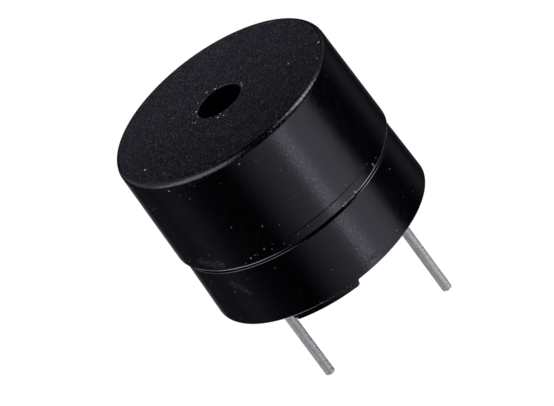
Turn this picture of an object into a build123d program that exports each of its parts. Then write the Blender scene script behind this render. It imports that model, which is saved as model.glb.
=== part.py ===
"""Passive magnetic buzzer for a circuit board, 12 mm across and 9.4 mm high over its feet.

Millimetres, +Z up through the sound hole. The origin lies on the seating plane, where the feet
meet the circuit board, on the case's axis. The two pins stand on the X axis, the longer, positive
one at -X. Heights are stacked upwards from the seating plane and radii outwards from the pins.
"""
import os
from math import cos, radians, sin

from build123d import *

# Pins and the room that they need
pin_pitch = 7.6
pin_diameter = 0.5
pin_root_diameter = 0.56
pin_length_positive = 6.65
pin_length_negative = 5.15
pin_tip_radius = 0.1
pin_head_diameter = 1.0
pin_head_thickness = 0.25
pin_head_room = 0.15
pin_hole_clearance = 0.04

# Walls and fits from the motor's bore outwards
spigot_wall = 0.55
spigot_clearance = 0.05
spigot_lead_in = 0.1
skirt_wall = 0.45
shadow_gap_depth = 0.5
shadow_gap_height = 0.18
case_draft = 0.1
base_set_back = 0.17
base_draft = 0.1

# Heights of the lower case, from the seating plane upwards
foot_height = 0.32
base_height = 3.35
board_recess = 1.0

# Feet under the lower case
foot_count = 3
foot_arc = 36
foot_azimuth = -81.3
foot_inset = 0.05
foot_width = 0.7
foot_end_radius = 0.15

# Edges of the case
base_lower_edge_radius = 0.05
base_shoulder_edge_radius = 0.1
rim_edge_radius = 0.08
top_edge_radius = 0.2
chamber_corner_radius = 0.5

# Sound chamber and hole
chamber_height = 3.07
case_top_thickness = 1.0
retaining_lip = 0.45
sound_hole_diameter = 2.4
sound_hole_edge_radius = 0.06

# Diaphragm
diaphragm_thickness = 0.08
diaphragm_clearance = 0.1
diaphragm_headroom = 0.12
armature_diameter = 4.2
armature_thickness = 0.35
armature_edge = 0.05

# Magnet, pole, yoke and coil
air_gap = 0.25
pole_height = 2.2
pole_diameter = 2.0
pole_edge = 0.06
rivet_diameter = 1.4
rivet_head_diameter = 2.2
rivet_head_height = 0.25
yoke_thickness = 0.7
motor_clearance = 0.05
magnet_set_down = 0.1
magnet_edge = 0.12
coil_outer_diameter = 5.4
coil_insulation = 0.05
coil_set_down = 0.2

# Coil wire and its two ends
wire_diameter = 0.2
turn_ridge_height = 0.05
lead_channel = 0.4
lead_azimuth = 25
lead_bend_radius = 0.15
lead_clearance = 0.06
lead_stub = 0.5
notch_room = 0.25
notch_corner_radius = 0.3

# Board, solder and sealing
board_thickness = 0.8
board_overlap = 0.45
board_clearance = 0.05
pin_solder_diameter = 1.3
pin_solder_height = 0.75
lead_solder_diameter = 1.2
lead_solder_height = 0.35
solder_sag_share = 0.2
bead_width = 0.4
bead_height = 0.55

# Radii from the pins outwards
pin_radius = pin_diameter / 2
pin_root_radius = pin_root_diameter / 2
pin_offset = pin_pitch / 2
pin_head_radius = pin_head_diameter / 2
motor_bore_radius = pin_offset + pin_head_radius + pin_head_room
spigot_radius = motor_bore_radius + spigot_wall
case_bore_radius = spigot_radius + spigot_clearance
skirt_radius = case_bore_radius + skirt_wall
case_rim_radius = skirt_radius + shadow_gap_depth
case_top_radius = case_rim_radius - case_draft
base_shoulder_radius = case_rim_radius - base_set_back
base_bottom_radius = base_shoulder_radius + base_draft
chamber_radius = case_bore_radius - retaining_lip
board_radius = motor_bore_radius + board_overlap
board_pocket_radius = board_radius + board_clearance
motor_radius = motor_bore_radius - motor_clearance
pole_radius = pole_diameter / 2
rivet_radius = rivet_diameter / 2
coil_inner_radius = pole_radius + coil_insulation
coil_outer_radius = coil_outer_diameter / 2
magnet_inner_radius = coil_outer_radius + lead_channel
wire_radius = wire_diameter / 2
lead_radius = coil_outer_radius + lead_channel / 2
lead_x = lead_radius * cos(radians(lead_azimuth))
lead_y = lead_radius * sin(radians(lead_azimuth))
notch_offset = lead_x - wire_radius - notch_room
notch_width = (lead_y + wire_radius + notch_room) * 2
notch_reach = motor_radius

# Heights from the seating plane upwards
base_bottom = foot_height
shoulder_level = base_bottom + base_height
rim_level = shoulder_level + shadow_gap_height
board_bottom = base_bottom + board_recess
board_top = board_bottom + board_thickness
yoke_top = board_top + yoke_thickness
pole_top = yoke_top + pole_height
magnet_top = pole_top - magnet_set_down
coil_top = pole_top - coil_set_down
seat_level = pole_top + air_gap
diaphragm_top = seat_level + diaphragm_thickness
retaining_level = diaphragm_top + diaphragm_headroom
ceiling_level = diaphragm_top + chamber_height
case_top = ceiling_level + case_top_thickness
lead_level = yoke_top + wire_diameter
lead_end = board_bottom - lead_stub

# The positive side, with the longer pin, lies at -X
sides = [("positive", -1, pin_length_positive), ("negative", 1, pin_length_negative)]

os.makedirs("parts", exist_ok=True)


def save(builder, name):
    """Label a finished piece and write its file."""
    builder.part.label = name
    export_step(builder.part, f"parts/{name}.step")


def rings(builder):
    """Circular edges of a turned piece, level by level from the lowest."""
    return builder.edges().filter_by(GeomType.CIRCLE).group_by(Axis.Z)


def upright(place, turn=0):
    """Vertical plane through a place, its x axis outwards at the angle turn and its y axis up."""
    outwards = Vector(1, 0, 0).rotate(Axis.Z, turn)
    return Plane(origin=place, x_dir=outwards, z_dir=outwards.cross(Vector(0, 0, 1)))


def taper_radius(level):
    """Radius of a pin's tapered root at a level between the seating plane and the board's top."""
    return pin_radius + (pin_root_radius - pin_radius) * level / board_top


def wetted_arc(start, corner, end):
    """Arc from start to end that bows towards the corner, as a liquid that wets both walls does."""
    start, corner, end = Vector(start), Vector(corner), Vector(end)
    chord = end - start
    reach = corner - start
    depth = reach - chord * (reach.dot(chord) / chord.dot(chord))
    return ThreePointArc(start, (start + end) / 2 + depth * solder_sag_share, end)


# Upper case: a cap with draft, an inner skirt that stands on the shoulder and a shadow gap round it
with BuildPart() as upper_case:
    with BuildSketch(Plane.XZ):
        with BuildLine():
            Polyline(
                (0, ceiling_level),
                (chamber_radius, ceiling_level),
                (chamber_radius, retaining_level),
                (case_bore_radius, retaining_level),
                (case_bore_radius, shoulder_level),
                (skirt_radius, shoulder_level),
                (skirt_radius, rim_level),
                (case_rim_radius, rim_level),
                (case_top_radius, case_top),
                (0, case_top),
                close=True,
            )
        make_face()
    revolve(axis=Axis.Z)
    fillet(rings(upper_case)[-2], chamber_corner_radius)
    fillet(rings(upper_case)[1].sort_by(SortBy.RADIUS)[-1], rim_edge_radius)
    fillet(rings(upper_case)[-1], top_edge_radius)
    with Locations((0, 0, case_top)):
        Hole(sound_hole_diameter / 2, depth=case_top_thickness)
    hole_edges = upper_case.faces().sort_by(Axis.Z)[-1].inner_wires().edges()
    fillet(hole_edges, sound_hole_edge_radius)
save(upper_case, "upper_case")

# Lower case: a ring with a spigot above its shoulder, a pocket for the board below, and feet
with BuildPart() as lower_case:
    with BuildSketch(Plane.XZ):
        with BuildLine():
            Polyline(
                (board_pocket_radius, base_bottom),
                (base_bottom_radius, base_bottom),
                (base_shoulder_radius, shoulder_level),
                (spigot_radius, shoulder_level),
                (spigot_radius, seat_level),
                (motor_bore_radius, seat_level),
                (motor_bore_radius, board_top),
                (board_pocket_radius, board_top),
                close=True,
            )
        make_face()
    revolve(axis=Axis.Z)
    chamfer(rings(lower_case)[3].sort_by(SortBy.RADIUS)[-1], spigot_lead_in)
    fillet(rings(lower_case)[2].sort_by(SortBy.RADIUS)[-1], base_shoulder_edge_radius)
    fillet(rings(lower_case)[0].sort_by(SortBy.RADIUS)[-1], base_lower_edge_radius)
    foot_outer_radius = base_bottom_radius - base_lower_edge_radius - foot_inset
    for index in range(foot_count):
        turn = foot_azimuth + index * 360 / foot_count
        with BuildSketch(Plane.XY.rotated((0, 0, turn))):
            with BuildLine():
                outer = CenterArc((0, 0), foot_outer_radius, -foot_arc / 2, foot_arc)
                inner = CenterArc((0, 0), foot_outer_radius - foot_width, -foot_arc / 2, foot_arc)
                Line(outer @ 0, inner @ 0)
                Line(outer @ 1, inner @ 1)
            make_face()
        extrude(amount=foot_height)
    foot_ends = lower_case.edges().filter_by(GeomType.LINE).group_by(Axis.Z)[0]
    fillet(foot_ends, foot_end_radius)
save(lower_case, "lower_case")

# Diaphragm: a thin disc that lies on the spigot
with BuildPart() as diaphragm:
    with BuildSketch(Plane.XY.offset(seat_level)):
        Circle(case_bore_radius - diaphragm_clearance)
    extrude(amount=diaphragm_thickness)
save(diaphragm, "diaphragm")

# Armature disc: the mass on the diaphragm's middle
with BuildPart() as armature_disc:
    with BuildSketch(Plane.XY.offset(diaphragm_top)):
        Circle(armature_diameter / 2)
    extrude(amount=armature_thickness)
    chamfer(armature_disc.edges().group_by(Axis.Z)[-1], armature_edge)
save(armature_disc, "armature_disc")

# Yoke plate: a disc with a notch on each side, where the pin heads and the coil's ends pass
with BuildPart() as yoke_plate:
    with BuildSketch(Plane.XY.offset(board_top)):
        Circle(motor_radius)
        Circle(rivet_radius, mode=Mode.SUBTRACT)
        with Locations((-notch_offset - notch_reach / 2, 0), (notch_offset + notch_reach / 2, 0)):
            RectangleRounded(notch_reach, notch_width, notch_corner_radius, mode=Mode.SUBTRACT)
    extrude(amount=yoke_thickness)
save(yoke_plate, "yoke_plate")

# Ring magnet: stands on the yoke round the coil
with BuildPart() as ring_magnet:
    with BuildSketch(Plane.XY.offset(yoke_top)):
        Circle(motor_radius)
        Circle(magnet_inner_radius, mode=Mode.SUBTRACT)
    extrude(amount=magnet_top - yoke_top)
    chamfer(ring_magnet.edges().group_by(Axis.Z)[-1], magnet_edge)
save(ring_magnet, "ring_magnet")

# Pole core: stands on the yoke, its shank riveted over under the board
with BuildPart() as pole_core:
    with BuildSketch(Plane.XZ):
        with BuildLine():
            underside = board_bottom - rivet_head_height
            rivet_edge = (rivet_head_diameter / 2, board_bottom)
            outline = Polyline(
                rivet_edge,
                (rivet_radius, board_bottom),
                (rivet_radius, yoke_top),
                (pole_radius, yoke_top),
                (pole_radius, pole_top),
                (0, pole_top),
                (0, underside),
                (rivet_radius, underside),
            )
            TangentArc(outline @ 1, outline @ 0, tangent=(1, 0))
        make_face()
    revolve(axis=Axis.Z)
    chamfer(pole_core.edges().group_by(Axis.Z)[-1], pole_edge)
save(pole_core, "pole_core")

# Coil: turns in a column round the pole, and the wire's two ends led through the board
with BuildPart() as coil:
    turn_rows = round((coil_top - yoke_top) / wire_diameter)
    row_pitch = (coil_top - yoke_top) / turn_rows
    with BuildSketch(Plane.XZ):
        with BuildLine():
            valley = coil_outer_radius - turn_ridge_height
            for row in range(turn_rows):
                low = yoke_top + row * row_pitch
                ThreePointArc(
                    (valley, low),
                    (coil_outer_radius, low + row_pitch / 2),
                    (valley, low + row_pitch),
                )
            Polyline(
                (valley, coil_top),
                (coil_inner_radius, coil_top),
                (coil_inner_radius, yoke_top),
                (valley, yoke_top),
            )
        make_face()
    revolve(axis=Axis.Z)
    for turn in (lead_azimuth, lead_azimuth + 180):
        with BuildLine(upright((0, 0, 0), turn)) as lead:
            FilletPolyline(
                (coil_inner_radius, lead_level),
                (lead_radius, lead_level),
                (lead_radius, lead_end),
                radius=lead_bend_radius,
            )
        with BuildSketch(Plane(origin=lead.line @ 0, z_dir=lead.line % 0)):
            Circle(wire_radius)
        sweep(path=lead.line)
save(coil, "coil")

# Circuit board: closes the case from below, with holes for the rivet, the pins and the wire's ends
with BuildPart() as circuit_board:
    with BuildSketch(Plane.XY.offset(board_bottom)):
        Circle(board_radius)
        Circle(rivet_radius, mode=Mode.SUBTRACT)
        with Locations((-pin_offset, 0), (pin_offset, 0)):
            Circle(pin_root_radius + pin_hole_clearance, mode=Mode.SUBTRACT)
        with Locations((lead_x, lead_y), (-lead_x, -lead_y)):
            Circle(wire_radius + lead_clearance, mode=Mode.SUBTRACT)
    extrude(amount=board_thickness)
save(circuit_board, "circuit_board")

# Pins, straight below the seat and tapered above it, so that they jam in the board up to their heads.
# Each has a joint of solder under the board, and so does each end of the wire.
for name, side, length in sides:
    pin_axis = Axis((side * pin_offset, 0, 0), (0, 0, 1))
    with BuildPart() as pin:
        with BuildSketch(upright((side * pin_offset, 0, 0))):
            with BuildLine():
                Polyline(
                    (0, -length),
                    (pin_radius, -length),
                    (pin_radius, 0),
                    (pin_root_radius, board_top),
                    (pin_head_radius, board_top),
                    (pin_head_radius, board_top + pin_head_thickness),
                    (0, board_top + pin_head_thickness),
                    close=True,
                )
            make_face()
        revolve(axis=pin_axis)
        fillet(rings(pin)[0], pin_tip_radius)
    save(pin, f"pin_{name}")

    with BuildPart() as pin_solder:
        with BuildSketch(upright((side * pin_offset, 0, 0))):
            with BuildLine():
                tip_level = board_bottom - pin_solder_height
                tip = (taper_radius(tip_level), tip_level)
                corner = (taper_radius(board_bottom), board_bottom)
                toe = (pin_solder_diameter / 2, board_bottom)
                wetted_arc(tip, corner, toe)
                Polyline(toe, corner, tip)
            make_face()
        revolve(axis=pin_axis)
    save(pin_solder, f"pin_solder_{name}")

    with BuildPart() as lead_solder:
        with BuildSketch(upright((side * lead_x, side * lead_y, board_bottom))):
            with BuildLine():
                crown = (wire_radius, -lead_solder_height)
                toe = (lead_solder_diameter / 2, 0)
                TangentArc(crown, toe, tangent=(1, 0))
                Polyline(toe, (wire_radius, 0), crown)
            make_face()
        revolve(axis=Axis((side * lead_x, side * lead_y, 0), (0, 0, 1)))
    save(lead_solder, f"lead_solder_{name}")

# Sealing bead: resin in the corner between the board and its pocket
with BuildPart() as sealing_bead:
    with BuildSketch(Plane.XZ):
        with BuildLine():
            on_board = (board_pocket_radius - bead_width, board_bottom)
            corner = (board_pocket_radius, board_bottom)
            on_wall = (board_pocket_radius, board_bottom - bead_height)
            wetted_arc(on_board, corner, on_wall)
            Polyline(on_wall, corner, on_board)
        make_face()
    revolve(axis=Axis.Z)
save(sealing_bead, "sealing_bead")
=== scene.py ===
"""Looks of a passive buzzer: a moulded black case in two halves, tinned pins and the soldered board below.

Shapes are worked out in millimetres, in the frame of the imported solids, and put() turns them to metres.
A turned piece is an outline of (radius, height) points carried round its axis. Heights and radii that
the solids' boxes give are read from them, and the rest are named below.
"""
from functools import reduce
from math import cos, degrees, e, pi, radians, sin

import bpy
import numpy as np
from mathutils import Matrix, Vector


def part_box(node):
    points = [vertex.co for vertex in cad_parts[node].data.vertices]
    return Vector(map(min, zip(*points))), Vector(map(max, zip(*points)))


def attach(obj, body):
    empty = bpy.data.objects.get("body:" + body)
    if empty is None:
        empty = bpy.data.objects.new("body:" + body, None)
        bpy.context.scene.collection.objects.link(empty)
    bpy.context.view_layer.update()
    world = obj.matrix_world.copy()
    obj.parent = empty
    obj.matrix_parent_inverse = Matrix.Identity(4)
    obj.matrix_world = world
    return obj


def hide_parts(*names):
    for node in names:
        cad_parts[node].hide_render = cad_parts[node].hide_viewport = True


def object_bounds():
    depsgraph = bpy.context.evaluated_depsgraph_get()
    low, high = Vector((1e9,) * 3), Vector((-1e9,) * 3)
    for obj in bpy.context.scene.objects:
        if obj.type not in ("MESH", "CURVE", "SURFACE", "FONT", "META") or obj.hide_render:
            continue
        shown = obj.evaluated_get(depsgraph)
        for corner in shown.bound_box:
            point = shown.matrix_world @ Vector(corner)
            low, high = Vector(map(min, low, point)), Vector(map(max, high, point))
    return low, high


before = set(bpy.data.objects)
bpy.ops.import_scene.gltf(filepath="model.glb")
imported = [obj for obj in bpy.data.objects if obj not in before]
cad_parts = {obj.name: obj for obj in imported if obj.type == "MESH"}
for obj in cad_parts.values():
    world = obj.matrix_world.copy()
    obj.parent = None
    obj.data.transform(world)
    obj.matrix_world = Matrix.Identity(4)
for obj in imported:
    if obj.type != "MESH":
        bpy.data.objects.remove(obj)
cad_low, cad_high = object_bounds()
MM = 0.001

# Photograph: its frame, and where the buzzer stands in it
photo_width = 554
photo_height = 406
camera_distance = 500
camera_bearing = radians(24.4)
camera_angle = camera_bearing - pi / 2
sight_to_axis = radians(63.61)
axis_in_picture = radians(-126.53)
base_middle_pixel = (320.6, 238.1)
pixels_per_mm = 20.87
sensor_width = 36


def span(node):
    """A solid's lowest and highest corners in millimetres."""
    low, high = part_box(node)
    return low / MM, high / MM


# Sizes that the solids' boxes give
cap_low, cap_high = span("upper_case")
_, base_high = span("lower_case")
board_low, board_high = span("circuit_board")
bead_low, bead_high = span("sealing_bead")
rivet_low, rivet_high = span("pole_core")
_, yoke_high = span("yoke_plate")
case_top = cap_high.z
shoulder_level = cap_low.z
rim_radius = cap_high.y
base_radius = base_high.y
seat_level = base_high.z
board_bottom = board_low.z
board_top = board_high.z

# Distance between points along the straight runs of an outline
line_spacing = 0.015
foot_spacing = 0.05
edge_spacing = 0.1
short_spacing = 0.2
flat_spacing = 0.25
seat_spacing = 0.3
inner_spacing = 0.4

# Upper case
case_draft = 0.1
seam_gap = 0.18
retaining_gap = 0.2
top_thickness = 1.0
top_radius = rim_radius - case_draft
rim_level = shoulder_level + seam_gap
skirt_radius = 5.5
wall_inside = skirt_radius + 0.3
cap_bore_radius = 5.05
chamber_radius = 4.6
retaining_level = seat_level + retaining_gap
ceiling_level = case_top - top_thickness
hole_radius = 1.2
top_edge = 0.3
rim_edge = 0.09
hole_edge = 0.03
chamber_corner = 0.5
sharp_edge = 0.03
cap_columns = 320

# Wear and droop of the cap's rim
rim_wear = 0.02
worn_height = 0.21
wear_seed = 4
wear_waves = 40
rim_droop = 0.085
droop_bearing = camera_angle + radians(30)

# Slow waves that lift the rim: turn from the camera's bearing, height and width
rim_waves = (
    (radians(6), 0.03, radians(14)),
    (radians(-66), 0.08, radians(16)),
    (radians(66), 0.09, radians(12)),
)

# Witness line scribed in the cap's wall
line_bearing = camera_angle + radians(12)
line_half_arc = radians(27)
line_full_share = 0.8
line_zone = 0.9
line_rise = 0.52
line_drop = 0.03
line_depth = 0.012
line_width = 0.022
line_recovery = 0.35
line_waver = 0.5
line_seed = 7
line_waves = 90

# Nibs of flash on the rim: turn from the camera's bearing, height over the rim and width
nib_places = ((radians(18.3), 0.0, 0.07), (radians(25.6), 0.06, 0.05), (radians(42.6), 0.19, 0.03))
nib_height = 0.05
nib_spread = radians(2)
nib_columns = 17

# Lower case
base_bottom = 0.32
base_draft = 0.1
shoulder_radius = base_radius - base_draft
spigot_radius = 5.0
motor_bore_radius = 4.45
pocket_radius = 4.95
shoulder_edge = 0.1
shoulder_warp = 0.075
warp_bearing = camera_angle - radians(15)
warp_height = 0.5
base_edge = 0.05
base_columns = 240

# Feet of the lower case
foot_count = 3
first_foot = radians(-81.3)
foot_bearings = [first_foot + turn * 2 * pi / foot_count for turn in range(foot_count)]
foot_arc = radians(36)
foot_inset = 0.1
foot_width = 0.7
foot_outer = base_radius - foot_inset
foot_inner = foot_outer - foot_width
foot_corner = 0.15
foot_wall = 0.006
foot_wall_spacing = foot_wall / 4
foot_run_out = 0.18
run_out_columns = 25
foot_wall_columns = 9

# Pins
pin_radius = 0.25
pin_root_radius = 0.28
pin_tip = 0.1
pin_columns = 64

# Solder: a power above 1 draws it in to a hollow cone, and one below 1 swells it to a bead
wire_radius = 0.1
cone_power = 2.2
cone_seed = 20
drop_power = 0.5
drop_seed = 30
solder_bite = 0.02
toe_waver = 0.06
toe_waves = 5
solder_rows = 24
solder_core_rows = 6
solder_columns = 72

# Pole, riveted under the board
pole_radius = 1.0
rivet_radius = 0.7
rivet_flat_share = 0.75
rivet_edge = 0.1
rivet_columns = 96

# Sealing bead
bead_width = 0.4
bead_sag = 0.25
bead_width_waver = 0.12
bead_height_waver = 0.1
bead_seeds = (11, 12)
bead_waves = 14
bead_rows = 16
bead_back_rows = 7
bead_columns = 240

# Scuffs on the wall: degrees from the camera's bearing, heights of both ends, sideways lean and width
scuffs = (
    (-51.0, (3.0, 2.3), 0.6, 0.16),
    (-60.0, (4.5, 4.3), 1.3, 0.2),
    (-15.0, (0.3, 0.2), 1.8, 0.1),
    (14.0, (0.8, 0.7), 1.4, 0.14),
)

# Crumbs of dirt: degrees from the camera's bearing, height on the wall or radius on the top, and size
wall_crumbs = (
    (-48.8, 9.05, 0.1), (-9.9, 8.94, 0.08), (-31.3, 6.15, 0.07), (-18.5, 5.5, 0.08), (-32.6, 4.2, 0.1),
    (-29.9, 4.29, 0.06), (-28.6, 4.24, 0.05), (-25.2, 4.46, 0.05), (-24.3, 4.37, 0.06), (-21.3, 4.17, 0.05),
    (-19.6, 4.44, 0.07), (-54.6, 2.43, 0.08), (-17.6, 0.36, 0.08), (-3.7, 0.35, 0.06), (24.2, 4.56, 0.07),
    (31.8, 0.77, 0.07), (17.2, 3.85, 0.15), (18.8, 3.88, 0.15), (25.6, 3.92, 0.16), (42.6, 4.04, 0.1),
    (46.9, 3.85, 0.07),
)
top_crumbs = (
    (172, 1.3, 0.11), (-171, 1.55, 0.1), (-143, 1.42, 0.07), (-112, 1.28, 0.11), (-20, 1.5, 0.1),
    (-14, 1.3, 0.07), (95, 1.36, 0.08), (-75, 1.6, 0.07), (76, 5.6, 0.1), (62, 5.6, 0.07), (71, 3.9, 0.08),
    (-75, 4.95, 0.1), (84, 1.33, 0.08), (-140, 1.66, 0.07), (-8, 1.6, 0.08),
)

# Zones of the case's finish: where each fades in or out, from nothing to full
flat_fade = (case_top - 0.014, case_top - 0.002)
hole_rim_fade = (hole_radius + 0.2, hole_radius + 0.1)
hole_rim_depth = (case_top - 0.12, case_top - 0.05)
hole_dust_fade = (hole_radius + 0.9, hole_radius + 0.1)
rim_dust_foot = (rim_level - 0.05, rim_level)
rim_dust_head = (rim_level + 0.9, rim_level + 0.3)
top_edge_fade = (case_top - 0.4, case_top - 0.28)
base_fade = (shoulder_level, shoulder_level - 0.1)
# Band of the wall that mirrors the light streak: it gets a finer bump and painted glints
bump_and_painted_glint_left = (rim_radius * radians(8), rim_radius * radians(11))
bump_and_painted_glint_right = (rim_radius * radians(19), rim_radius * radians(15))

# Circuit board: tracks, tinned rings and cut edge
track_half_width = 0.3
pin_ring_radius = 0.86
lead_ring_radius = 0.74
ring_run = 0.01
board_face_fade = (board_bottom + 0.03, board_bottom + 0.005)
board_edge_fade = (board_high.y - 0.03, board_high.y - 0.01)

# Floor
floor_reach = 400
floor_gap = 0.01


def rounded(corners, closed=True, arc_steps=8, hug=0.02):
    """Outline through corners of (radius, height, rounding, spacing) as an array of points.

    Each corner becomes an arc that touches both its sides, at the place and angles given by the half angle
    between them. The straight run after it is divided at its spacing, with a close point at each end so
    that smooth shading stays flat on the flats.
    """
    place = np.array([corner[:2] for corner in corners], float)
    count = len(corners)
    arcs = []
    for at, (_, _, rounding, _) in enumerate(corners):
        here = place[at]
        if rounding == 0 or (not closed and at in (0, count - 1)):
            arcs.append(here[None])
            continue
        to_last = place[at - 1] - here
        to_next = place[(at + 1) % count] - here
        to_last /= np.linalg.norm(to_last)
        to_next /= np.linalg.norm(to_next)
        half = np.arccos(np.clip(to_last @ to_next, -1, 1)) / 2
        inwards = (to_last + to_next) / np.linalg.norm(to_last + to_next)
        middle = here + inwards * rounding / np.sin(half)
        first = here + to_last * rounding / np.tan(half) - middle
        last = here + to_next * rounding / np.tan(half) - middle
        sweep = pi - 2 * half
        share = np.linspace(0, 1, arc_steps + 1)[:, None]
        spokes = np.sin((1 - share) * sweep) * first + np.sin(share * sweep) * last
        arcs.append(middle + spokes / np.sin(sweep))
    outline = []
    for at in range(count):
        outline.append(arcs[at])
        if at == count - 1 and not closed:
            break
        start, end = arcs[at][-1], arcs[(at + 1) % count][0]
        length = np.linalg.norm(end - start)
        spacing = corners[at][3]
        inner = np.linspace(0, 1, max(2, int(np.ceil(length / spacing)) + 1))[1:-1]
        close = np.array([hug, length - hug]) / length if length > 3 * hug else []
        share = np.unique(np.concatenate([inner, close]))[:, None]
        outline.append(start + (end - start) * share)
    return np.concatenate(outline)


def bearings(count, crowded=(), spread=0, extra=0):
    """Angles round a piece: even steps, and extra ones over a spread to both sides of each crowded angle."""
    angles = [np.arange(count) * 2 * pi / count] if count else []
    angles += [centre + np.linspace(-spread, spread, extra) for centre in crowded]
    return np.unique(np.round(np.concatenate(angles) % (2 * pi), 5))


def turn_from(centre, angles):
    """Angles as turns from a centre, between minus and plus half a turn."""
    return (angles - centre + pi) % (2 * pi) - pi


def turned(outline, angles, axis=(0, 0)):
    """Grid of points: at each angle a, an outline's (r, z) goes to (r cos a, r sin a, z) about the axis."""
    r, z = outline[:, :1], outline[:, 1:]
    return np.stack([axis[0] + r * np.cos(angles), axis[1] + r * np.sin(angles), z + 0 * angles], axis=2)


def put(name, grid, ring=False, first_pole=False, last_pole=False):
    """Mesh piece from a grid of points in millimetres, joined round its columns and, for a ring, its rows.

    Row r, column c becomes vertex r * columns + c, and a row at a pole becomes one vertex with a fan of
    triangles. The signed volume, the sum of p0 . (p1 x p2) over the faces cut in triangles, says which way
    the faces point, and they are turned if it is negative.
    """
    body = grid[int(first_pole):len(grid) - int(last_pole)]
    rows, columns = body.shape[:2]
    index = np.arange(rows * columns).reshape(rows, columns)
    below = index if ring else index[:-1]
    above = np.roll(index, -1, axis=0) if ring else index[1:]
    quads = np.stack([below, np.roll(below, -1, axis=1), np.roll(above, -1, axis=1), above], axis=2)
    points = [body.reshape(-1, 3)]
    faces = [quads.reshape(-1, 4)]
    tip = np.full(columns, rows * columns)
    if first_pole:
        points.append(grid[0, :1])
        faces.append(np.stack([tip, np.roll(index[0], -1), index[0]], axis=1))
    if last_pole:
        points.append(grid[-1, :1])
        faces.append(np.stack([tip + int(first_pole), index[-1], np.roll(index[-1], -1)], axis=1))
    points = np.concatenate(points)
    volume = 0
    for group in faces:
        corners = [points[group[:, side]] for side in range(group.shape[1])]
        for second, third in zip(corners[1:], corners[2:]):
            volume += np.sum(corners[0] * np.cross(second, third))
    turn = 1 if volume > 0 else -1
    outward = [face for group in faces for face in group[:, ::turn].tolist()]
    mesh = bpy.data.meshes.new(name)
    mesh.from_pydata((points * MM).tolist(), [], outward)
    mesh.shade_smooth()
    piece = bpy.data.objects.new(name, mesh)
    bpy.context.scene.collection.objects.link(piece)
    return piece


def ease(value, low, high):
    """Smooth step from 0 at low to 1 at high."""
    share = np.clip((value - low) / (high - low), 0, 1)
    return share * share * (3 - 2 * share)


def ripple(angles, seed, waves):
    """Gentle unevenness round a piece, from -1 to 1.

    It is a sum of sines of 2 to waves periods, each with its own phase and divided by the root of its
    number of periods.
    """
    periods = np.arange(2, waves + 1)[:, None]
    phases = np.random.default_rng(seed).uniform(0, 2 * pi, (waves - 1, 1))
    total = np.sum(np.sin(periods * angles + phases) / periods ** 0.5, axis=0)
    return total / np.abs(total).max()


def upper_case_shell():
    """Cap: its closed section carried round the axis, from the sound hole over the top, down and back inside.

    A witness line steps inwards above the rim and recovers over a short height, with a ripple in its depth.
    Its own height falls off with the square of the angle from its middle. The rim's edge is worn unevenly
    by a ripple. The rim droops to one side by a squared cosine and is lifted by slow waves, which are bell
    curves of the angle. Nibs of flash stand on it as bell curves of the distance from their places.
    """
    line_zone_radius = rim_radius - case_draft * line_zone / (case_top - rim_level)
    section = rounded([
        (hole_radius, ceiling_level, sharp_edge, flat_spacing),
        (hole_radius, case_top, hole_edge, short_spacing),
        (top_radius, case_top, top_edge, flat_spacing),
        (line_zone_radius, rim_level + line_zone, 0, line_spacing),
        (rim_radius, rim_level, rim_edge, short_spacing),
        (skirt_radius, rim_level, sharp_edge, edge_spacing),
        (skirt_radius, shoulder_level, sharp_edge, short_spacing),
        (cap_bore_radius, shoulder_level, sharp_edge, inner_spacing),
        (cap_bore_radius, retaining_level, sharp_edge, short_spacing),
        (chamber_radius, retaining_level, sharp_edge, inner_spacing),
        (chamber_radius, ceiling_level, chamber_corner, inner_spacing),
    ])
    nib_angles = [camera_angle + turn for turn, _, _ in nib_places]
    angles = bearings(cap_columns, nib_angles, nib_spread, nib_columns)
    r, z = section[:, :1], section[:, 1:]
    wall = r > wall_inside
    off_middle = turn_from(line_bearing, angles)
    line_height = rim_level + line_rise - line_drop * (off_middle / line_half_arc) ** 2
    fade = ease(np.abs(off_middle), line_half_arc, line_full_share * line_half_arc)
    step_in = ease(z, line_height - line_width, line_height + line_width)
    recovered = ease(z, line_height + line_recovery, line_height + line_width)
    uneven = 1 + line_waver * ripple(angles, line_seed, line_waves)
    pressed = line_depth * wall * fade * step_in * recovered * uneven
    patchy = (1 + ripple(angles, wear_seed, wear_waves)) / 2
    worn = rim_wear * wall * ease(z, rim_level + worn_height, rim_level) * patchy
    raised = 0
    for angle, (_, rise, width) in zip(nib_angles, nib_places):
        across = rim_radius * turn_from(angle, angles)
        along = z - rim_level - rise
        raised = raised + nib_height * wall * np.exp(-(across ** 2 + along ** 2) / width ** 2)
    grid = turned(section, angles)
    grid[:, :, :2] *= (1 - (pressed + worn - raised) / r)[:, :, None]
    outer = (r > skirt_radius) * (z > shoulder_level + 2 * sharp_edge)
    rim = outer * ease(z, rim_level + line_zone, rim_level)
    fall = rim_droop * ((1 + np.cos(angles - droop_bearing)) / 2) ** 2
    for turn, height, width in rim_waves:
        fall = fall - height * np.exp(-(turn_from(camera_angle + turn, angles) / width) ** 2)
    grid[:, :, 2] -= rim * fall
    return put("upper_case_shell", grid, ring=True)


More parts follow.
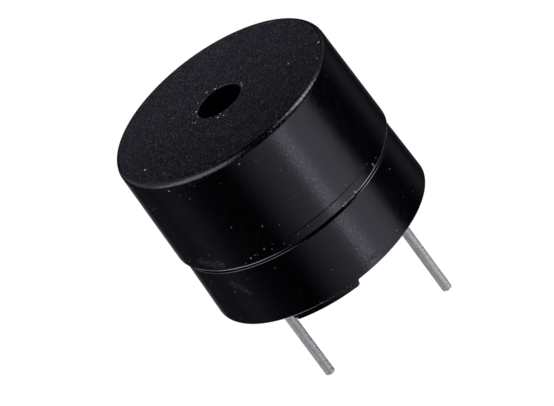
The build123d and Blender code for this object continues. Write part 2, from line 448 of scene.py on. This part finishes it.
def lower_case_ring():
    """Base: its closed section carried round the axis, with the bottom let down where the feet are.

    A foot is a rounded box in arc length and radius. Its signed distance, the usual one of a box whose
    corners are rounded, is eased from 1 inside to 0 outside over the width of the foot's wall, times the
    foot's height. Past the box's ends the foot runs out into the bottom along a quarter of a circle. The
    shoulder is warped by a squared sine of the angle, which fades out below it.
    """
    section = rounded([
        (pocket_radius, base_bottom, sharp_edge, foot_spacing),
        (foot_inner - foot_wall, base_bottom, 0, foot_wall_spacing),
        (foot_inner + foot_wall, base_bottom, 0, foot_spacing),
        (foot_outer - foot_wall, base_bottom, 0, foot_wall_spacing),
        (foot_outer + foot_wall, base_bottom, 0, foot_spacing),
        (base_radius, base_bottom, base_edge, short_spacing),
        (shoulder_radius, shoulder_level, shoulder_edge, edge_spacing),
        (spigot_radius, shoulder_level, sharp_edge, seat_spacing),
        (spigot_radius, seat_level, sharp_edge, short_spacing),
        (motor_bore_radius, seat_level, sharp_edge, inner_spacing),
        (motor_bore_radius, board_top, sharp_edge, short_spacing),
        (pocket_radius, board_top, sharp_edge, seat_spacing),
    ])
    ends = [bearing + side * foot_arc / 2 for bearing in foot_bearings for side in (-1, 1)]
    near_ends = bearings(base_columns, ends, (foot_run_out + foot_wall) / foot_inner, run_out_columns)
    angles = np.union1d(near_ends, bearings(0, ends, foot_wall / foot_inner, foot_wall_columns))
    grid = turned(section, angles)
    r, z = section[:, :1], section[:, 1:]
    bottom = z < base_bottom + sharp_edge
    for bearing in foot_bearings:
        turn = np.abs(turn_from(bearing, angles))
        along = r * (turn - foot_arc / 2) + foot_corner
        across = np.abs(r - (foot_outer + foot_inner) / 2) - (foot_outer - foot_inner) / 2 + foot_corner
        outside = np.hypot(np.maximum(along, 0), np.maximum(across, 0))
        distance = outside + np.minimum(np.maximum(along, across), 0) - foot_corner
        foot = base_bottom * (1 - ease(distance, -foot_wall, foot_wall))
        past_end = np.clip(along - foot_corner, 0, foot_run_out)
        run_out = foot_run_out - np.sqrt(foot_run_out ** 2 - (foot_run_out - past_end) ** 2)
        run_out = run_out * (1 - ease(across - foot_corner, -foot_wall, foot_wall))
        grid[:, :, 2] -= bottom * np.maximum(foot, run_out)
    shoulder = ease(z, shoulder_level - warp_height, shoulder_level) * (r > skirt_radius)
    grid[:, :, 2] -= shoulder_warp * shoulder * np.sin(angles - warp_bearing) ** 2
    return put("lower_case_ring", grid, ring=True)


def pin_wire(side):
    """Pin: a wire's section from its cut tip up to its head on the board, carried round its own axis."""
    low, high = span(f"pin_{side}")
    middle = (low + high) / 2
    head_radius = (high.x - low.x) / 2
    section = rounded([
        (0, low.z, 0, foot_spacing),
        (pin_radius, low.z, pin_tip, short_spacing),
        (pin_radius, 0, 0, short_spacing),
        (pin_root_radius, board_top, sharp_edge, edge_spacing),
        (head_radius, board_top, sharp_edge, edge_spacing),
        (head_radius, high.z, sharp_edge, edge_spacing),
        (0, high.z, 0, edge_spacing),
    ], closed=False)
    grid = turned(section, bearings(pin_columns), (middle.x, middle.y))
    return put(f"pin_{side}_wire", grid, first_pole=True, last_pole=True)


def solder_fillet(name, node, core_radius, power, seed):
    """Solder round a pin or wire end: radius core + (toe - core)(1 - s)^power at the depth s of its height.

    A ripple pulls its toe in unevenly.
    """
    low, high = span(node)
    middle = (low + high) / 2
    depth = np.linspace(0, 1, solder_rows)[:, None]
    angles = bearings(solder_columns)
    toe = (high.x - low.x) / 2 * (1 - toe_waver * (1 + ripple(angles, seed, toe_waves)))
    outer = core_radius + (toe - core_radius) * (1 - depth) ** power
    inner = np.full((solder_core_rows, len(angles)), core_radius - solder_bite)
    r = np.concatenate([outer, inner])
    core_levels = np.linspace(low.z, high.z, solder_core_rows)[:, None]
    z = np.concatenate([high.z - depth * (high.z - low.z), core_levels]) + 0 * angles
    grid = np.stack([middle.x + r * np.cos(angles), middle.y + r * np.sin(angles), z], axis=2)
    return put(name, grid, ring=True)


def rivet_core():
    """Pole: a turned core whose shank is riveted over under the board, as one section round the axis."""
    section = rounded([
        (0, rivet_low.z, 0, edge_spacing),
        (rivet_flat_share * rivet_high.y, rivet_low.z, rivet_edge, edge_spacing),
        (rivet_high.y, board_bottom, sharp_edge, edge_spacing),
        (rivet_radius, board_bottom, sharp_edge, short_spacing),
        (rivet_radius, yoke_high.z, sharp_edge, edge_spacing),
        (pole_radius, yoke_high.z, sharp_edge, short_spacing),
        (pole_radius, rivet_high.z, sharp_edge, edge_spacing),
        (0, rivet_high.z, 0, edge_spacing),
    ], closed=False)
    return put("rivet_core", turned(section, bearings(rivet_columns)), first_pole=True, last_pole=True)


def resin_bead():
    """Sealing bead: it runs from its edge on the board to its edge on the wall and sags between by a sine.

    Ripples move both edges. The bead's back follows the wall up to the board and the board inwards.
    """
    angles = bearings(bead_columns)
    width_seed, height_seed = bead_seeds
    width = bead_width * (1 - bead_width_waver * (1 + ripple(angles, width_seed, bead_waves)))
    height = 1 - bead_height_waver * (1 + ripple(angles, height_seed, bead_waves))
    height = (bead_high.z - bead_low.z) * height
    share = np.linspace(0, 1, bead_rows)[:, None]
    sag = bead_sag * np.sin(pi * share)
    front_r = pocket_radius - width * (1 - share - sag)
    front_z = bead_high.z - height * (share - sag)
    up = np.linspace(0, 1, bead_back_rows)[1:, None]
    inwards = np.linspace(0, 1, bead_back_rows)[1:-1, None]
    r = np.concatenate([front_r, pocket_radius + 0 * up * width, pocket_radius - inwards * width])
    z = np.concatenate([front_z, bead_high.z - height * (1 - up), bead_high.z + 0 * inwards * height])
    return put("resin_bead", np.stack([r * np.cos(angles), r * np.sin(angles), z], axis=2), ring=True)


class Flow:
    """A socket's value on its way through a shader. Python's operators on it add Math nodes."""

    def __init__(self, finish, socket):
        self.finish = finish
        self.socket = socket

    def math(self, operation, *values):
        return self.finish.node("ShaderNodeMath", {"operation": operation}, dict(enumerate(values)))

    def __add__(self, other):
        return self.math("ADD", self, other)

    def __radd__(self, other):
        return self.math("ADD", other, self)

    def __sub__(self, other):
        return self.math("SUBTRACT", self, other)

    def __rsub__(self, other):
        return self.math("SUBTRACT", other, self)

    def __mul__(self, other):
        return self.math("MULTIPLY", self, other)

    def __rmul__(self, other):
        return self.math("MULTIPLY", other, self)

    def __truediv__(self, other):
        return self.math("DIVIDE", self, other)

    def __rtruediv__(self, other):
        return self.math("DIVIDE", other, self)

    def __pow__(self, other):
        return self.math("POWER", self, other)

    def __rpow__(self, other):
        return self.math("POWER", other, self)

    def __neg__(self):
        return self.math("MULTIPLY", self, -1)

    def most(self, other):
        """The larger of this value and another."""
        return self.math("MAXIMUM", self, other)

    def held(self):
        """The value held between 0 and 1."""
        return self.finish.node("ShaderNodeClamp", {}, {0: self, 1: 0.0, 2: 1.0})

    def step(self, low, high):
        """Smooth step from 0 at low to 1 at high, also where low is above high."""
        settings = {"interpolation_type": "SMOOTHSTEP", "clamp": True}
        if low < high:
            return self.finish.node("ShaderNodeMapRange", settings, {0: self, 1: low, 2: high, 3: 0, 4: 1})
        return self.finish.node("ShaderNodeMapRange", settings, {0: self, 1: high, 2: low, 3: 1, 4: 0})


class Finish:
    """A node tree, of a material or the world, that is filled through one method."""

    def __init__(self, owner):
        owner.use_nodes = True
        self.owner = owner
        self.tree = owner.node_tree
        self.tree.nodes.clear()

    def node(self, kind, settings=(), sockets=(), output=0):
        """Add a node: its settings first, then the values or links of its sockets.

        It gives one output, or a list of them where output is a tuple of names.
        """
        made = self.tree.nodes.new(kind)
        for key, value in dict(settings).items():
            setattr(made, key, value)
        for key, value in dict(sockets).items():
            if isinstance(value, Flow):
                self.tree.links.new(value.socket, made.inputs[key])
            else:
                made.inputs[key].default_value = value
        if not made.outputs:
            return made
        if isinstance(output, tuple):
            return [Flow(self, made.outputs[name]) for name in output]
        return Flow(self, made.outputs[output])

    def place(self):
        """The point on the piece in millimetres."""
        metres = self.node("ShaderNodeTexCoord", {}, {}, "Object")
        return self.node("ShaderNodeVectorMath", {"operation": "SCALE"}, {0: metres, 3: 1 / MM})

    def parts(self, vector):
        """A vector's x, y and z."""
        return self.node("ShaderNodeSeparateXYZ", {}, {0: vector}, ("X", "Y", "Z"))

    def blend(self, share, one, other):
        """Colour that goes from one to the other as share goes from 0 to 1."""
        return self.node("ShaderNodeMix", {"data_type": "RGBA"}, {0: share, 6: one, 7: other}, 2)

    def noise(self, point, scale, detail=2):
        """Noise of about 0 to 1, with scale features a millimetre."""
        return self.node("ShaderNodeTexNoise", {}, {"Vector": point, "Scale": scale, "Detail": detail})

    def bump(self, height):
        """Normal of a surface that is raised by a height in millimetres."""
        return self.node("ShaderNodeBump", {}, {"Strength": 1.0, "Distance": MM, "Height": height})

    def surface(self, **sockets):
        """Close the material with a Principled shader; underscores are the spaces in its sockets' names."""
        named = {key.replace("_", " "): value for key, value in sockets.items()}
        shader = self.node("ShaderNodeBsdfPrincipled", {}, named)
        self.node("ShaderNodeOutputMaterial", {}, {"Surface": shader})
        return self.owner


def grey(level, blue=1.0):
    """A colour of one level, with its blue raised or lowered."""
    return (level, level * 0.97, level * blue, 1)


def most_of(values):
    """The largest of several values."""
    return reduce(Flow.most, values)


def from_axis(x, y):
    """Distance from the case's axis."""
    return (x * x + y * y) ** 0.5


def from_camera(x, y):
    """How far a place or direction goes towards the camera, and its bearing to the right of the camera's."""
    toward = x * sin(camera_bearing) - y * cos(camera_bearing)
    right = x * cos(camera_bearing) + y * sin(camera_bearing)
    return toward, right.math("ARCTAN2", right, toward)


def wall_radius(level):
    """Radius of the drafted wall at a height: of the cap above the seam, and of the base below it."""
    if level > shoulder_level:
        return rim_radius - case_draft * (level - rim_level) / (case_top - rim_level)
    return base_radius - base_draft * (level - base_bottom) / (shoulder_level - base_bottom)


def specks(finish, point, count, size, share):
    """Specks about size millimetres across, on the given share of random points that lie 1 / count apart."""
    cells = {"Vector": point, "Scale": count}
    distance, colour = finish.node("ShaderNodeTexVoronoi", {}, cells, ("Distance", "Color"))
    lot, _, _ = finish.parts(colour)
    return distance.step(0.5 * size * count, 0.3 * size * count) * (lot + share).step(0.99, 1.01)


def nearness(x, y, start, end, width, soft=0.03):
    """1 within width of the straight run from start to end, and 0 beyond it.

    The nearest point on the run is at the share ((p - start) . run) / run^2, held between 0 and 1.
    """
    run = (end[0] - start[0], end[1] - start[1])
    length = run[0] ** 2 + run[1] ** 2
    share = ((x - start[0]) * (run[0] / length) + (y - start[1]) * (run[1] / length)).held()
    across = x - start[0] - share * run[0]
    along = y - start[1] - share * run[1]
    return ((across * across + along * along) ** 0.5).step(width + soft, width - soft)


def case_finish():
    """Black moulded plastic: satin walls with a faint grain, and a matt grained top whose colour is painted
    paler away from the camera, as painted light on its back half.

    Dust settles in clumps, and more of it round the sound hole and over the rim. A crumb is where the
    distance from its place is small, and it is paler on the top. Scuffs are straight runs on the wall,
    with ragged edges. One band of the wall gets a finer bump and painted glints, bright specks painted into
    its colour as highlights where the wall mirrors a light streak.
    """
    finish = Finish(bpy.data.materials.new("moulded_black"))
    point = finish.place()
    x, y, z = finish.parts(point)
    radius = from_axis(x, y)
    toward, bearing = from_camera(x, y)
    around = bearing * rim_radius
    flat = z.step(*flat_fade)
    top = flat.most(radius.step(*hole_rim_fade) * z.step(*hole_rim_depth))
    grain = finish.noise(point, 9.5)
    fine = finish.noise(point, 11, detail=1)
    mottle = finish.noise(point, 0.7, detail=3)
    clumps = finish.noise(point, 0.45).step(0.42, 0.62)
    ragged = finish.noise(point, 17, detail=1)

    over_rim = z.step(*rim_dust_foot) * z.step(*rim_dust_head)
    at_hole = flat * radius.step(*hole_dust_fade)
    dust_share = 0.01 + clumps * 0.03 + over_rim * 0.06 + at_hole * 0.6 + flat * 0.06
    grit_share = 0.02 + clumps * 0.08 + over_rim * 0.25 + at_hole * 0.7 + flat * 0.14
    dust = specks(finish, point, count=3, size=0.07, share=dust_share)
    grit = specks(finish, point, count=5, size=0.055, share=grit_share)
    speck = dust.most(grit * 0.6) * (1 - top * 0.4)
    uneven = ragged * 0.14 - 0.06
    crumbs = [(turn, wall_radius(level), level, size) for turn, level, size in wall_crumbs]
    crumbs += [(turn, away, case_top, size) for turn, away, size in top_crumbs]
    for turn, away, level, size in crumbs:
        angle = camera_bearing + radians(turn)
        centre = (away * sin(angle), -away * cos(angle), level)
        off = finish.node("ShaderNodeVectorMath", {"operation": "DISTANCE"}, {0: point, 1: centre}, "Value")
        speck = speck.most((off + uneven).step(0.6 * size, 0.4 * size))

    # Painted highlights: glints painted as bright specks into the colour of the band where the wall mirrors
    # the light streak, more of them on the base; the band also gets a finer bump.
    bump_and_painted_glint_band = around.step(*bump_and_painted_glint_left) * around.step(*bump_and_painted_glint_right) * (1 - top)
    painted_glint_share = 0.4 + z.step(*base_fade) * 0.25
    painted_glint = specks(finish, point, count=8, size=0.085, share=painted_glint_share) * bump_and_painted_glint_band
    marks = []
    for turn, (start_level, end_level), lean, width in scuffs:
        start = (radians(turn) * rim_radius, start_level)
        end = (start[0] + lean, end_level)
        marks.append(nearness(around + ragged * 0.25, z, start, end, width, soft=width))
    scuff = most_of(marks) * ragged.step(0.42, 0.72) * (1 - top)

    # Painted light: the top's grain colours run from dark at the front to paler at the back, away from the
    # camera, in place of the light that falls on the back of the top.
    painted_light_to_back = (toward / -rim_radius + 1) / 2
    pits_painted_lighter_to_back = finish.blend(painted_light_to_back, grey(0.001, 3), grey(0.0125, 1.45))
    peaks_painted_lighter_to_back = finish.blend(painted_light_to_back, grey(0.013, 1.4), grey(0.039, 1.4))
    matt = finish.blend(grain.step(0.45, 0.68), pits_painted_lighter_to_back, peaks_painted_lighter_to_back)
    plastic = finish.blend(top, grey(0.0004, 4), matt)
    # The scuffs blended in here are wear; the glints blended in with them are painted highlights.
    worn = finish.blend(scuff * 0.16 + painted_glint, plastic, grey(0.075, 1.2))
    dirt = finish.blend(top, grey(0.22), grey(0.6))
    edge = z.step(*top_edge_fade)
    satin = fine * (0.003 + bump_and_painted_glint_band * 0.004 + edge * 0.006)
    height = top * grain * 0.024 + (1 - top) * satin + speck * 0.02 + scuff * ragged * 0.01
    satin_gloss = 0.1 + mottle * 0.05 + fine.step(0.35, 0.65) * 0.13
    return finish.surface(
        Base_Color=finish.blend(speck, worn, dirt),
        Roughness=satin_gloss + top * 0.2 + edge * 0.045 + speck * 0.3 + scuff * 0.2,
        Normal=finish.bump(height),
        Specular_IOR_Level=0.58,
    )


def pin_finish():
    """Tinned wire: dull pale metal with a granular skin, faint lines drawn along it and bright flecks."""
    finish = Finish(bpy.data.materials.new("tinned_wire"))
    point = finish.place()
    stretched = finish.node("ShaderNodeVectorMath", {"operation": "MULTIPLY"}, {0: point, 1: (1, 1, 0.15)})
    drawn = finish.noise(stretched, 8)
    skin = finish.noise(point, 13)
    patches = finish.noise(point, 3, detail=3)
    flecks = specks(finish, point, count=8, size=0.08, share=0.22)
    shade = skin.step(0.3, 0.7) * 0.26 + drawn * 0.5 + patches * 0.36
    tone = finish.blend(shade, (0.36, 0.36, 0.365, 1), (0.78, 0.78, 0.785, 1))
    return finish.surface(
        Base_Color=finish.blend(flecks * 0.5, tone, (0.86, 0.86, 0.86, 1)),
        Metallic=0.3,
        Roughness=0.36 + skin * 0.16,
        Normal=finish.bump(drawn * 0.004 + skin * 0.003 + patches * 0.005),
    )


def solder_finish():
    """Solder: bright metal, slightly frosted in patches."""
    finish = Finish(bpy.data.materials.new("solder"))
    frost = finish.noise(finish.place(), 5, detail=4)
    return finish.surface(
        Base_Color=finish.blend(frost, grey(0.58), grey(0.8)),
        Metallic=1.0,
        Roughness=0.16 + frost * 0.22,
        Normal=finish.bump(frost * 0.012),
    )


def plated_finish(name, dark, light, roughness):
    """Plated or bare iron: metal whose tone and gloss drift, with fine turning marks round the axis."""
    finish = Finish(bpy.data.materials.new(name))
    point = finish.place()
    x, y, z = finish.parts(point)
    across = finish.node("ShaderNodeCombineXYZ", {}, {0: from_axis(x, y) * 16, 1: z * 4})
    rings = finish.noise(across, 1)
    drift = finish.noise(point, 1.3, detail=3)
    return finish.surface(
        Base_Color=finish.blend(drift, dark, light),
        Metallic=1.0,
        Roughness=roughness + rings * 0.12,
        Normal=finish.bump(rings * 0.004),
    )


def ferrite_finish():
    """Pressed ferrite: charcoal, dull, with a granular bump."""
    finish = Finish(bpy.data.materials.new("ferrite"))
    grains = finish.noise(finish.place(), 11, detail=4)
    return finish.surface(
        Base_Color=finish.blend(grains, grey(0.02), grey(0.06)),
        Roughness=0.55 + grains * 0.2,
        Normal=finish.bump(grains * 0.015),
    )


def copper_finish():
    """Enamelled copper wire: reddish metal under a clear coat."""
    finish = Finish(bpy.data.materials.new("copper_wire"))
    drift = finish.noise(finish.place(), 3, detail=3)
    return finish.surface(
        Base_Color=finish.blend(drift, (0.42, 0.13, 0.05, 1), (0.65, 0.25, 0.1, 1)),
        Metallic=1.0,
        Roughness=0.24 + drift * 0.12,
        Coat_Weight=0.6,
        Coat_Roughness=0.1,
    )


def board_finish():
    """Circuit board: green mask over two tracks, tinned rings at the joints, faint weave, pale cut edge."""
    finish = Finish(bpy.data.materials.new("board"))
    point = finish.place()
    x, y, z = finish.parts(point)
    below = z.step(*board_face_fade)
    tracks = []
    rings = []
    for side in ("positive", "negative"):
        pin = [sum(ends) / 2 for ends in zip(*span(f"pin_{side}"))]
        lead = [sum(ends) / 2 for ends in zip(*span(f"lead_solder_{side}"))]
        tracks.append(nearness(x, y, pin, lead, track_half_width))
        for centre, radius in ((pin, pin_ring_radius), (lead, lead_ring_radius)):
            rings.append(nearness(x, y, centre, (centre[0] + ring_run, centre[1]), radius))
    track = most_of(tracks)
    tinned = most_of(rings) * below
    threads = {"Vector": point, "Scale": 1.1}
    weave_x = finish.node("ShaderNodeTexWave", {"bands_direction": "X"}, threads)
    weave_y = finish.node("ShaderNodeTexWave", {"bands_direction": "Y"}, threads)
    weave = weave_x * weave_y
    drift = finish.noise(point, 1.2, detail=3)
    mask = finish.blend(weave * 0.4 + drift * 0.4, (0.012, 0.075, 0.03, 1), (0.022, 0.12, 0.05, 1))
    tracked = finish.blend(track * below, mask, (0.045, 0.19, 0.075, 1))
    edge = from_axis(x, y).step(*board_edge_fade)
    bare = finish.blend(edge, tracked, (0.42, 0.36, 0.2, 1))
    return finish.surface(
        Base_Color=finish.blend(tinned, bare, grey(0.66)),
        Metallic=tinned,
        Roughness=0.3 + drift * 0.1 + edge * 0.4,
        Normal=finish.bump(track * 0.03 + tinned * 0.01 + weave * 0.004),
    )


def resin_finish():
    """Sealing resin: dark amber brown, glossy, with small bubbles under the skin."""
    finish = Finish(bpy.data.materials.new("resin"))
    point = finish.place()
    drift = finish.noise(point, 1.1, detail=3)
    bubbles = specks(finish, point, count=3, size=0.14, share=0.4)
    amber = finish.blend(bubbles * 0.5 + drift * 0.3, (0.012, 0.008, 0.006, 1), (0.05, 0.032, 0.018, 1))
    return finish.surface(
        Base_Color=amber,
        Roughness=0.1 + drift * 0.1,
        Normal=finish.bump(drift * 0.06 + bubbles * 0.01),
    )


def dress(piece, material, slot, *nodes):
    """Give a piece its material and its place on the body, and hide the solids that it stands for. The slot
    is not used.
    """
    piece.data.materials.clear()
    piece.data.materials.append(material)
    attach(piece, "root")
    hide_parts(*nodes)


def repaint(node, material):
    """Give a solid that stays in view its finish."""
    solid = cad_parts[node]
    solid.data.materials.clear()
    solid.data.materials.append(material)


black = case_finish()
tin = pin_finish()
solder = solder_finish()
dress(upper_case_shell(), black, "case", "upper_case")
dress(lower_case_ring(), black, "case", "lower_case")
for number, side in enumerate(("positive", "negative")):
    dress(pin_wire(side), tin, "tinned_wire", f"pin_{side}")
    pin_solder = f"pin_solder_{side}"
    cone = solder_fillet(f"pin_{side}_joint", pin_solder, pin_radius, cone_power, cone_seed + number)
    dress(cone, solder, "solder", pin_solder)
    lead_solder = f"lead_solder_{side}"
    drop = solder_fillet(f"lead_{side}_joint", lead_solder, wire_radius, drop_power, drop_seed + number)
    dress(drop, solder, "solder", lead_solder)
iron = plated_finish("soft_iron", (0.5, 0.49, 0.46, 1), (0.66, 0.65, 0.62, 1), roughness=0.25)
dress(rivet_core(), iron, "soft_iron", "pole_core")
dress(resin_bead(), resin_finish(), "resin", "sealing_bead")
repaint("yoke_plate", iron)
repaint("circuit_board", board_finish())
repaint("coil", copper_finish())
repaint("ring_magnet", ferrite_finish())
steel = plated_finish("spring_steel", (0.42, 0.42, 0.43, 1), (0.55, 0.55, 0.56, 1), roughness=0.2)
repaint("diaphragm", steel)
repaint("armature_disc", steel)


def seen_from_camera(bearing, height):
    """Direction with a bearing to the right of the camera's and a height above the horizon."""
    round_axis = camera_bearing + bearing
    return Vector((sin(round_axis) * cos(height), -cos(round_axis) * cos(height), sin(height)))


def set_camera():
    """Camera whose picture has the part's axis, the base's middle pixel and the scale of the photograph.

    In the picture's frame (right, down, away), the part's axis is up = (sin t cos p, sin t sin p, -cos t),
    with t its angle to the line of sight and p its direction in the picture; level = (-sin p, cos p, 0) is
    square to it.
    """
    t, p = sight_to_axis, axis_in_picture
    up = Vector((sin(t) * cos(p), sin(t) * sin(p), -cos(t)))
    level = Vector((-sin(p), cos(p), 0))
    away = up.cross(level)
    x_axis = level * cos(camera_bearing) - away * sin(camera_bearing)
    y_axis = level * sin(camera_bearing) + away * cos(camera_bearing)
    to_picture = Matrix((x_axis, y_axis, up)).transposed()
    column, row = base_middle_pixel
    across = (column - photo_width / 2) / pixels_per_mm
    down = (row - photo_height / 2) / pixels_per_mm
    middle = Vector((across, down, camera_distance))
    turn = to_picture.transposed() @ Matrix.Diagonal((1, -1, -1))
    place = Vector((0, 0, base_bottom)) - to_picture.transposed() @ middle
    data = bpy.data.cameras.new("photo_camera")
    data.sensor_width = sensor_width
    data.lens = sensor_width * pixels_per_mm * camera_distance / photo_width
    data.clip_start = 0.05
    data.clip_end = 5
    camera = bpy.data.objects.new("photo_camera", data)
    camera.matrix_world = Matrix.Translation(place * MM) @ turn.to_4x4()
    bpy.context.scene.collection.objects.link(camera)
    bpy.context.scene.camera = camera


def set_lamp(name, bearing, height, distance, width, glow):
    """Square soft lamp that faces the case; glow is how bright its face looks, with 1 as white."""
    data = bpy.data.lights.new(name, "AREA")
    data.size = width * MM
    data.energy = glow * pi * data.size ** 2
    lamp = bpy.data.objects.new(name, data)
    direction = seen_from_camera(bearing, height)
    lamp.location = direction * distance * MM + Vector((0, 0, case_top / 2 * MM))
    lamp.rotation_mode = "QUATERNION"
    lamp.rotation_quaternion = direction.to_track_quat("Z", "Y")
    lamp.visible_glossy = False
    bpy.context.scene.collection.objects.link(lamp)


def set_world():
    """Studio round the part: white to the camera, and a dark room with soft panels to shiny surfaces.

    The photograph's glossy black wall mirrors such a room, with hard dark bands between light streaks, and
    among white walls it would come out grey. Directions are taken as a bearing to the right of the camera's,
    in degrees, and a height z, the sine of the angle above the horizon. A panel fades in and out by smooth
    steps, and a narrow lamp is a bell curve exp(-((bearing - middle) / width)^2).
    """
    world = bpy.data.worlds.new("studio")
    bpy.context.scene.world = world
    room = Finish(world)
    x, y, z = room.parts(room.node("ShaderNodeTexCoord", {}, {}, "Generated"))
    _, turn = from_camera(x, y)
    bearing = turn * degrees(1)

    def bell(glow, middle, width):
        return glow * e ** (-(((bearing - middle) / width) ** 2))

    def panel(glow, fade_in, fade_out):
        return glow * bearing.step(*fade_in) * bearing.step(*fade_out)

    table_right = bearing.step(14, 22) * (0.5 - 0.5 * bearing.step(50, 76))
    table = 0.5 * bearing.step(-38, 12) + table_right + bell(1.1, 27, 7)
    lamps = bell(0.1, -98, 21) + bell(0.03, -138, 12) + bell(0.075, 127, 14)
    behind = 0.3 * bearing.step(-150, -178) + 0.12 * bearing.step(150, 178)
    low = table * bearing.step(75, 66) + lamps + behind

    left_panel = panel(2.3, (-18, -38), (-112, -98)) * z.step(0.12, 0.34)
    right_panel = bell(8.0, 74, 14) * z.step(0.2, 0.4)
    left_side = panel(0.45, (-90, -105), (-165, -140))
    right_side = panel(0.2, (90, 105), (165, 140))
    left_under = panel(3.1, (-54, -72), (-178, -160))
    right_under = panel(8.5, (70, 82), (112, 100)) + panel(0.8, (128, 140), (178, 165))
    grazing = 0.55 * bearing.step(-122, -134) + 0.45 * bearing.step(130, 146)

    below = z.step(-0.05, -0.2) * z.step(-0.95, -0.7)
    above = z.step(-0.02, 0.12) * z.step(0.95, 0.86)
    aslant = z.step(-0.49, -0.55) * z.step(-0.76, -0.66)
    under = z.step(-0.62, -0.72) * z.step(-0.98, -0.9)
    dim = 0.005 + below * low
    upper = above * (left_panel + right_panel + left_side + right_side)
    lower = under * (left_under + right_under) + aslant * grazing + 0.3 * z.step(-0.9, -0.98)
    bright = upper + lower

    rays = ("Is Camera Ray", "Is Glossy Ray", "Is Transmission Ray")
    camera, glossy, through = room.node("ShaderNodeLightPath", {}, {}, rays)
    plain = camera.most(through)
    levels = []
    for table_tint, panel_tint in ((0.85, 0.93), (0.82, 0.92), (1.0, 1.0)):
        shiny = dim * table_tint + bright * panel_tint
        levels.append(plain + (1 - plain) * (glossy * shiny + (1 - glossy) * 0.5))
    colour = room.node("ShaderNodeCombineColor", {}, dict(enumerate(levels)))
    background = room.node("ShaderNodeBackground", {}, {"Color": colour, "Strength": 1.0})
    room.node("ShaderNodeOutputWorld", {}, {"Surface": background})


def set_floor():
    """Plain white floor under the pins' tips: mostly white to the camera, with the part's shadow left in it.

    From below it is clear, and shiny surfaces don't see it.
    """
    level = cad_low.z - floor_gap * MM
    reach = floor_reach * MM
    corners = [(-reach, -reach, level), (reach, -reach, level), (reach, reach, level), (-reach, reach, level)]
    mesh = bpy.data.meshes.new("floor")
    mesh.from_pydata(corners, [], [(0, 1, 2, 3)])
    floor = bpy.data.objects.new("floor", mesh)
    bpy.context.scene.collection.objects.link(floor)
    finish = Finish(bpy.data.materials.new("white_floor"))
    paper = finish.node("ShaderNodeBsdfDiffuse", {}, {"Color": (0.8, 0.8, 0.8, 1)})
    glow = finish.node("ShaderNodeEmission", {}, {"Color": (1, 1, 1, 1), "Strength": 1.12})
    camera_ray = finish.node("ShaderNodeLightPath", {}, {}, "Is Camera Ray")
    clear = finish.node("ShaderNodeBsdfTransparent")
    face = finish.node("ShaderNodeMixShader", {}, {0: camera_ray * 0.85, 1: paper, 2: glow})
    back = finish.node("ShaderNodeNewGeometry", {}, {}, "Backfacing")
    both = finish.node("ShaderNodeMixShader", {}, {0: back, 1: face, 2: clear})
    finish.node("ShaderNodeOutputMaterial", {}, {"Surface": both})
    mesh.materials.append(finish.owner)
    floor.visible_glossy = False


bpy.context.scene.view_settings.view_transform = "Standard"
set_camera()
set_lamp("left_lamp", bearing=radians(-95), height=radians(45), distance=130, width=130, glow=0.85)
set_lamp("right_lamp", bearing=radians(75), height=radians(48), distance=130, width=70, glow=2.6)
set_world()
set_floor()
